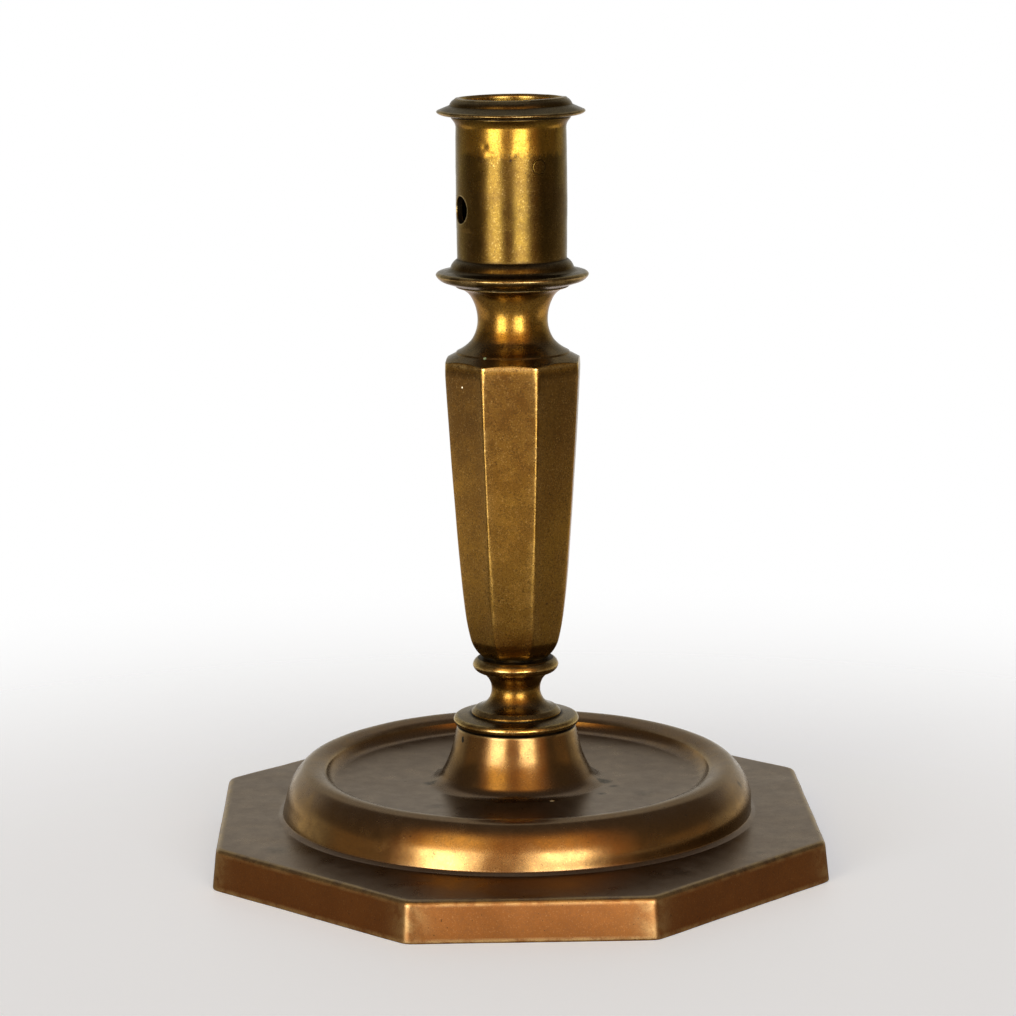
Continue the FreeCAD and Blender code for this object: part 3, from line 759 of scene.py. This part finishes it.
# Marks: azimuth, radius, height, half-size, softness, strength and colour.
FOOT_MARKS = (
    # Two small pits near the neck's top, darkened: dirt and painted shade.
    (-63.0, 14.3, 28.4, 0.55, 0.25, 1.6, GRIME_AND_SHADE),
    (-62.0, 14.4, 27.9, 0.60, 0.25, 1.6, GRIME_AND_SHADE),
    (20.0, 21.6, 16.85, 0.6, 0.3, 1.6, LIGHT_SPECK),
    (52.0, 24.0, 16.9, 1.7, 0.9, 0.75, STAIN),
    (80.0, 20.6, 16.9, 2.6, 0.8, 1.0, STAIN),
    (70.0, 23.5, 16.9, 1.6, 0.9, 0.8, STAIN),
    (-82.0, 20.4, 16.9, 2.4, 0.8, 0.8, STAIN),
    (-38.0, 31.0, 17.2, 3.2, 0.9, 0.45, SMEAR),
    (60.0, 33.0, 17.3, 3.6, 0.9, 0.45, SMEAR),
    (75.6, 52.7, 18.3, 1.5, 0.8, 0.7, STAIN),
    (-60.0, 63.0, PLATE_HEIGHT, 4.5, 0.9, 0.45, SMEAR),
    (32.0, 63.5, PLATE_HEIGHT, 3.5, 0.9, 0.4, SMEAR),
    (53.0, 66.0, PLATE_HEIGHT, 2.0, 0.9, 0.5, SMEAR),
)
STEM_MARKS = (
    (-31.0, 13.0, 117.2, 0.45, 0.4, 1.2, GREEN_SPECK),
    (-51.5, 15.3, 110.4, 0.40, 0.4, 1.4, LIGHT_SPECK),
    (-50.0, 15.2, 98.0, 0.8, 0.7, 0.9, GREEN_SPECK),
)
SOCKET_MARKS = (
    (-2.4, WALL_RADIUS, 161.6, 0.45, 0.6, 0.7, STAIN),
    (-30.0, WALL_RADIUS, 164.5, 0.35, 0.6, 0.7, STAIN),
    # a broad darkening on the front right: darker film and painted shade over the window's reflection
    (26.0, WALL_RADIUS, 150.0, 12.0, 0.9, 0.40, DARK_FILM_AND_SHADE),
)


class Shader:
    """Short ways to build one node tree."""

    def __init__(self, tree):
        self.tree = tree

    def add(self, kind, inputs=(), **settings):
        """A node with its settings; inputs are pairs of socket and value or link."""
        made = self.tree.nodes.new(kind)
        for name, value in settings.items():
            setattr(made, name, value)
        for socket, value in inputs:
            self.feed(made.inputs[socket], value)
        return made

    def feed(self, socket, value):
        """Links or sets one input."""
        if isinstance(value, bpy.types.NodeSocket):
            self.tree.links.new(value, socket)
        else:
            socket.default_value = value

    def noise(self, where, size, detail=3.0, roughness=0.55, distortion=0.0):
        """Noise from 0 to 1 whose features are about size millimetres wide."""
        made = self.add("ShaderNodeTexNoise", [
            ("Vector", where), ("Scale", 1 / (size * MM)), ("Detail", detail),
            ("Roughness", roughness), ("Distortion", distortion)])
        return made.outputs["Fac"]

    def places(self, where):
        """In millimetres: distance from the stem's axis, distance to the rear, and height."""
        scaled = self.add("ShaderNodeVectorMath", [(0, where), ("Scale", 1 / MM)], operation="SCALE")
        x, y, z = self.add("ShaderNodeSeparateXYZ", [(0, scaled.outputs["Vector"])]).outputs
        flat = self.add("ShaderNodeCombineXYZ", [(0, x), (1, y)]).outputs[0]
        radius = self.add("ShaderNodeVectorMath", [(0, flat)], operation="LENGTH").outputs["Value"]
        return radius, y, z

    def ramp(self, value, low, high, first=0.0, last=1.0):
        """A smooth ramp from first at low to last at high."""
        made = self.add("ShaderNodeMapRange", [
            ("Value", value), ("From Min", low), ("From Max", high),
            ("To Min", first), ("To Max", last)], interpolation_type="SMOOTHSTEP")
        return made.outputs["Result"]

    def math(self, operation, *values):
        """A maths node, clamped to 0..1 if the operation's name ends with an exclamation mark."""
        made = self.add("ShaderNodeMath", operation=operation.rstrip("!"))
        made.use_clamp = operation.endswith("!")
        for socket, value in zip(made.inputs, values):
            self.feed(socket, value)
        return made.outputs["Value"]

    def product(self, *values):
        """All the values multiplied."""
        return functools.reduce(lambda first, second: self.math("MULTIPLY", first, second), values)

    def total(self, *values):
        """All the values added."""
        return functools.reduce(lambda first, second: self.math("ADD", first, second), values)

    def mix(self, share, first, last, blend="MIX"):
        """One colour into another."""
        made = self.add("ShaderNodeMix", data_type="RGBA", blend_type=blend)
        self.feed(made.inputs["Factor"], share)
        self.feed(made.inputs[6], first)
        self.feed(made.inputs[7], last)
        return made.outputs[2]

    def tinted(self, shade, zones):
        """The colour, multiplied by each zone's tint inside its mask."""
        for mask, tint in zones:
            shade = self.mix(mask, shade, self.mix(1.0, shade, tint, "MULTIPLY"))
        return shade

    def attribute(self, label):
        """A number that the mesh keeps for each point."""
        return self.add("ShaderNodeAttribute", attribute_name=label).outputs["Fac"]

    def spot(self, where, azimuth, radius, height, size, soft=0.5):
        """1 inside a small ball on the surface, fading out at its border; millimetres."""
        turn = math.radians(azimuth)
        centre = Vector((radius * math.sin(turn), -radius * math.cos(turn), height)) * MM
        away = self.add("ShaderNodeVectorMath", [(0, where), (1, centre)], operation="DISTANCE")
        return self.ramp(away.outputs["Value"], size * MM, size * (1 - soft) * MM)


def brass(name, finish, zones=None, marks=()):
    """Aged brass: bare metal on the edges, a soft brown film, dirt and painted shade in the hollows.

    zones(make, where, mottle, shade) may change the colour from place to place, and gives
    back the colour and the roughness to add; marks are single stains and specks.
    """
    material = bpy.data.materials.new(name)
    material.use_nodes = True
    tree = material.node_tree
    make = Shader(tree)
    bsdf = tree.nodes["Principled BSDF"]
    where = make.add("ShaderNodeTexCoord").outputs["Object"]
    edge, cavity, upward = [make.attribute(label) for label in ("edge", "cavity", "upward")]

    clouds = make.noise(where, 17.0, 3.0, 0.55, 0.5)
    blotches = make.noise(where, 3.6, 4.0, 0.6)
    mottle = make.noise(where, 0.8, 3.0, 0.6)
    grain = make.noise(where, 0.3, 2.0, 0.6)
    specks = make.noise(where, 0.6, 2.0, 0.5)

    # the film, thin where the metal is worn
    film = make.total(clouds, make.product(blotches, 0.5), make.product(mottle, 0.4))
    middle, spread = 1.32 - 0.75 * finish["cover"], 0.33
    film = make.ramp(film, middle - spread, middle + spread)
    worn = make.math("MULTIPLY!", edge, make.ramp(blotches, 0.35, 0.6, 0.25, 1.0))
    film = make.math("MULTIPLY!", film, make.ramp(worn, 0.0, 0.8, 1.0, 0.15))
    shade = make.mix(film, finish["metal"], finish["patina"])
    added = 0.0
    if zones:
        shade, added = zones(make, where, mottle, shade)

    # dust, wear, speckles, and dirt with painted shade in the hollows, on top of it
    dust = make.product(make.ramp(upward, 0.25, 0.85), make.ramp(blotches, 0.3, 0.7, 0.7, 1.0))
    shade = make.mix(make.math("MULTIPLY!", dust, finish["dust"]), shade, finish["dusty"])
    shade = make.mix(make.product(worn, 0.75), shade, finish["worn"])
    speckle = finish["speckle"]
    shade = make.mix(make.ramp(grain, 0.50, 0.64, 0.0, speckle), shade, finish["dull"])
    shade = make.mix(make.ramp(grain, 0.42, 0.28, 0.0, 0.6 * speckle), shade, finish["worn"])
    uneven = make.ramp(blotches, 0.25, 0.7, 0.8, 1.1)
    # The hollows are darkened towards near black: dirt and painted shade.
    dirt_and_shade = make.math("MULTIPLY!", make.ramp(cavity, 0.25, 1.0), uneven)
    shade = make.mix(dirt_and_shade, shade, GRIME_AND_SHADE)
    dots = make.ramp(specks, 0.70, 0.76, 0.0, 0.7)
    shade = make.mix(dots, shade, GRIME_AND_SHADE)
    matte = None
    for azimuth, radius, height, size, soft, strength, tone in marks:
        ragged = make.ramp(mottle, 0.3, 0.6, 0.5 * strength, 1.3 * strength)
        near = make.math("MULTIPLY!", make.spot(where, azimuth, radius, height, size, soft), ragged)
        shade = make.mix(near, shade, tone)
        if tone in MATTE:
            matte = near if matte is None else make.math("MAXIMUM", matte, near)
    make.feed(bsdf.inputs["Base Color"], shade)
    if matte is None:
        bsdf.inputs["Metallic"].default_value = 1.0
    else:
        make.feed(bsdf.inputs["Metallic"], make.math("SUBTRACT", 1.0, matte))
    bsdf.inputs["Specular Tint"].default_value = colour(0.60, 0.58, 0.52)
    bsdf.inputs["Coat Weight"].default_value = finish["coat"]
    bsdf.inputs["Coat Roughness"].default_value = 0.30
    bsdf.inputs["Coat IOR"].default_value = 1.5

    smooth = finish["roughness"]
    rough = make.total(make.ramp(blotches, 0.3, 0.7, smooth - 0.03, smooth + 0.04),
                       make.product(film, 0.05), make.product(dirt_and_shade, 0.35), added)
    make.feed(bsdf.inputs["Roughness"], rough)

    # relief, in millimetres before the finish's own strength
    raised = make.total(make.product(blotches, 0.008), make.product(mottle, 0.004),
                        make.product(grain, 0.0025))
    raised = make.math("SUBTRACT", raised, make.product(dots, 0.008))
    bump = make.add("ShaderNodeBump", [
        ("Strength", finish["relief"]), ("Distance", MM), ("Height", raised)])
    make.feed(bsdf.inputs["Normal"], bump.outputs["Normal"])
    return material


def foot_zones(make, where, mottle, shade):
    """The neck and ring are yellower, the plinth's sides redder; flat faces are duller."""
    radius, _, z = make.places(where)
    neck = make.ramp(radius, 22.5, 18.0)
    side = make.ramp(z, 9.4, 8.4)
    ring = make.product(make.ramp(z, 9.8, 10.6), make.ramp(radius, 41.5, 43.5))
    shade = make.tinted(shade, ((neck, NECK_TINT), (side, SIDE_TINT), (ring, RING_TINT)))
    polished = make.math("MAXIMUM", neck, ring)
    added = make.total(make.ramp(polished, 1.0, 0.0, 0.0, 0.08), make.product(side, 0.04))
    return shade, added


def stem_zones(make, where, mottle, shade):
    """The facets are painted darker towards their tops: painted shade."""
    z = make.places(where)[2]
    upper_shade = make.product(make.ramp(z, 75.0, 112.0), make.ramp(z, 114.5, 113.5))
    return make.tinted(shade, [(upper_shade, UPPER_SHADE_TINT)]), 0.0


def socket_zones(make, where, mottle, shade):
    """Above a ragged line on the front the colour is brightened as worn thin film and as a painted
    highlight; inside the mouth the film is worn thin.
    """
    radius, y, z = make.places(where)
    ragged = make.total(z, make.ramp(mottle, 0.3, 0.7, -0.6, 0.6))
    thin_film_and_highlight = make.product(make.ramp(ragged, 161.8, 163.4), make.ramp(z, 170.5, 169.0),
                          make.ramp(y, -4.0, -8.0))
    mouth = make.product(make.ramp(radius, 11.8, 11.4), make.ramp(z, 169.5, 171.5))
    return make.tinted(shade, ((thin_film_and_highlight, THIN_FILM_AND_HIGHLIGHT_TINT), (mouth, MOUTH_TINT))), 0.0


def finish_piece(piece, node, material):
    """A piece stands for its CAD node, rides on the one body and takes its slot's finish."""
    piece.data.materials.append(material)
    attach(piece, "root")
    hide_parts(node)


# ---------------------------------------------------------------- stage, light and camera

def make_floor():
    """A pale round sheet that fades out well away from the foot."""
    extent, rings, segments = 0.9, 24, 96
    fade_start, fade_end = 0.10, 0.38
    points = [(0, 0, 0)]
    for radius in extent * np.arange(1, rings + 1) / rings:
        for angle in 2 * math.pi * np.arange(segments) / segments:
            points.append((radius * math.cos(angle), radius * math.sin(angle), 0))
    faces = [(0, 1 + k, 1 + (k + 1) % segments) for k in range(segments)]
    for i in range(rings - 1):
        for k in range(segments):
            a = 1 + i * segments + k
            b = 1 + i * segments + (k + 1) % segments
            faces.append((a, a + segments, b + segments, b))
    data = bpy.data.meshes.new("floor_sheet")
    data.from_pydata(points, [], faces)
    floor = linked("floor_sheet", data)
    material = bpy.data.materials.new("floor_paper")
    material.use_nodes = True
    tree = material.node_tree
    make = Shader(tree)
    bsdf = tree.nodes["Principled BSDF"]
    bsdf.inputs["Base Color"].default_value = colour(0.62, 0.69, 0.82)
    bsdf.inputs["Roughness"].default_value = 0.6
    bsdf.inputs["Emission Color"].default_value = colour(0.92, 0.97, 1.02)
    camera_ray = make.add("ShaderNodeLightPath").outputs["Is Camera Ray"]
    make.feed(bsdf.inputs["Emission Strength"], make.product(camera_ray, 0.4))
    where = make.add("ShaderNodeTexCoord").outputs["Object"]
    centre = Vector((0, -0.07, 0))
    away = make.add("ShaderNodeVectorMath", [(0, where), (1, centre)], operation="DISTANCE")
    clear = make.add("ShaderNodeBsdfTransparent")
    blend = make.add("ShaderNodeMixShader")
    make.feed(blend.inputs[0], make.ramp(away.outputs["Value"], fade_start, fade_end))
    tree.links.new(bsdf.outputs[0], blend.inputs[1])
    tree.links.new(clear.outputs[0], blend.inputs[2])
    tree.links.new(blend.outputs[0], tree.nodes["Material Output"].inputs["Surface"])
    floor.data.materials.append(material)


class Sky(Shader):
    """Light from all around, painted patch by patch; directions are in degrees."""

    def __init__(self, tree, tone):
        super().__init__(tree)
        self.light = tone
        ray = self.add("ShaderNodeTexCoord").outputs["Generated"]
        x, y, z = self.add("ShaderNodeSeparateXYZ", [(0, ray)]).outputs
        degrees = 180 / math.pi
        self.azimuth = self.product(self.math("ARCTAN2", x, self.product(y, -1.0)), degrees)
        self.elevation = self.product(self.math("ARCSINE", z), degrees)
        self.aside = self.math("ABSOLUTE", self.azimuth)

    def beyond(self, start, full):
        """1 where the azimuth, to either side, is past full and 0 before start."""
        return self.ramp(self.aside, start, full)

    def level(self, start, full):
        """1 where the elevation is past full and 0 before start."""
        return self.ramp(self.elevation, start, full)

    def patch(self, left, right, low, high, soft):
        """1 between the given directions, with soft borders."""
        return self.product(
            self.ramp(self.azimuth, left - soft, left + soft),
            self.ramp(self.azimuth, right + soft, right - soft),
            self.level(low - soft, low + soft),
            self.level(high + soft, high - soft))

    def paint(self, mask, red, green, blue):
        """Lays a colour over what is there."""
        self.light = self.mix(mask, self.light, colour(red, green, blue))


def make_world():
    """Light by direction: two windows in front, a dim warm room around them, white behind."""
    world = bpy.data.worlds.new("studio")
    bpy.context.scene.world = world
    world.use_nodes = True
    tree = world.node_tree
    sky = Sky(tree, colour(0.125, 0.100, 0.080))

    # the warm room in front
    sky.paint(sky.patch(-62.0, 52.0, -90.0, 56.0, 10.0), 0.70, 0.35, 0.13)
    # the backdrop, brighter towards its foot
    low_behind = sky.product(sky.beyond(103.0, 112.0), sky.level(14.0, 4.0))
    behind = sky.math("MAXIMUM", low_behind, sky.beyond(122.0, 155.0))
    sky.paint(behind, 0.46, 0.45, 0.44)
    horizon = sky.product(sky.beyond(112.0, 150.0), sky.level(-22.0, -8.0), sky.level(30.0, 12.0))
    sky.paint(horizon, 0.85, 0.85, 0.85)
    low_horizon = sky.product(sky.beyond(112.0, 140.0), sky.level(-22.0, -10.0), sky.level(4.0, -4.0))
    sky.paint(low_horizon, 1.4, 1.4, 1.4)
    # the table, its bright strips beside the foot, and what stands at its sides
    sky.paint(sky.product(sky.level(-4.0, -16.0), 0.8), 0.30, 0.25, 0.19)
    beside = sky.product(sky.beyond(80.0, 100.0), sky.level(-8.0, -14.0), sky.level(-34.0, -26.0))
    sky.paint(beside, 1.35, 1.20, 1.20)
    flank = sky.product(sky.beyond(66.0, 78.0), sky.beyond(108.0, 98.0),
                        sky.level(-3.0, 0.0), sky.level(14.0, 8.0))
    sky.paint(flank, 0.36, 0.26, 0.17)
    sky.paint(sky.patch(-62.0, 52.0, -75.0, -14.0, 8.0), 0.82, 0.44, 0.17)
    # lit walls above the windows, and the windows
    sky.paint(sky.patch(-50.0, -22.0, 12.0, 50.0, 6.0), 2.5, 1.7, 0.6)
    sky.paint(sky.patch(5.0, 33.0, 12.0, 50.0, 6.0), 1.7, 1.0, 0.32)
    for left, right in ((-50.0, -24.0), (5.0, 31.0)):
        sky.paint(sky.patch(left, right, -24.0, 17.0, 2.0), 10.0, 10.0, 9.8)
    # the camera itself sees plain white
    sky.paint(sky.add("ShaderNodeLightPath").outputs["Is Camera Ray"], 1.0, 1.0, 1.0)
    background = tree.nodes["Background"]
    sky.feed(background.inputs["Color"], sky.light)
    background.inputs["Strength"].default_value = 1.0
    bpy.context.scene.view_settings.view_transform = "Standard"


def make_camera():
    """The camera: about 0.8 m in front and a little above, looking down at the stem."""
    distance, height = 0.791749, 0.226014                 # metres
    pitch, pan, roll = 0.181229, -0.001830, -0.009157     # radians
    swing = math.radians(-1.68)                           # around the stem's axis
    sensor, focal = 36.0, 124.2
    ahead = math.cos(pitch)
    forward = Vector((math.sin(pan) * ahead, math.cos(pan) * ahead, -math.sin(pitch)))
    level = Vector((math.cos(pan), -math.sin(pan), 0))
    above = level.cross(forward)
    right = level * math.cos(roll) + above * math.sin(roll)
    up = above * math.cos(roll) - level * math.sin(roll)
    turned = Matrix((right, up, -forward)).transposed()
    around = Matrix.Rotation(swing, 3, "Z")
    place = (around @ turned).to_4x4()
    place.translation = around @ Vector((0, -distance, height))
    data = bpy.data.cameras.new("camera")
    data.sensor_width = sensor
    data.lens = focal
    data.clip_start = 0.01
    camera = linked("camera", data)
    camera.matrix_world = place
    bpy.context.scene.camera = camera


# ---------------------------------------------------------------- the candlestick

make_camera()
make_world()
make_floor()

foot = make_foot()
cast_uneven(foot, *FOOT_WAVES)
stand(foot)
stem = make_stem()
cast_uneven(stem, *STEM_WAVES)
socket = make_socket()
cast_uneven(socket, *SOCKET_WAVES)
buckle_rims(socket)
for sizes in SOCKET_DENTS:
    dent(socket, *sizes)
plug = make_plug()
cast_uneven(plug, *SOCKET_WAVES)

for piece, node, slot, finish, zones, marks in (
        (foot, "foot", "foot_brass", FOOT_FINISH, foot_zones, FOOT_MARKS),
        (stem, "stem", "stem_brass", STEM_FINISH, stem_zones, STEM_MARKS),
        (socket, "candle_socket", "socket_brass", SOCKET_FINISH, socket_zones, SOCKET_MARKS),
        (plug, "socket_plug", "plug_brass", SOCKET_FINISH, None, ())):
    finish_piece(piece, node, brass(slot, finish, zones, marks))
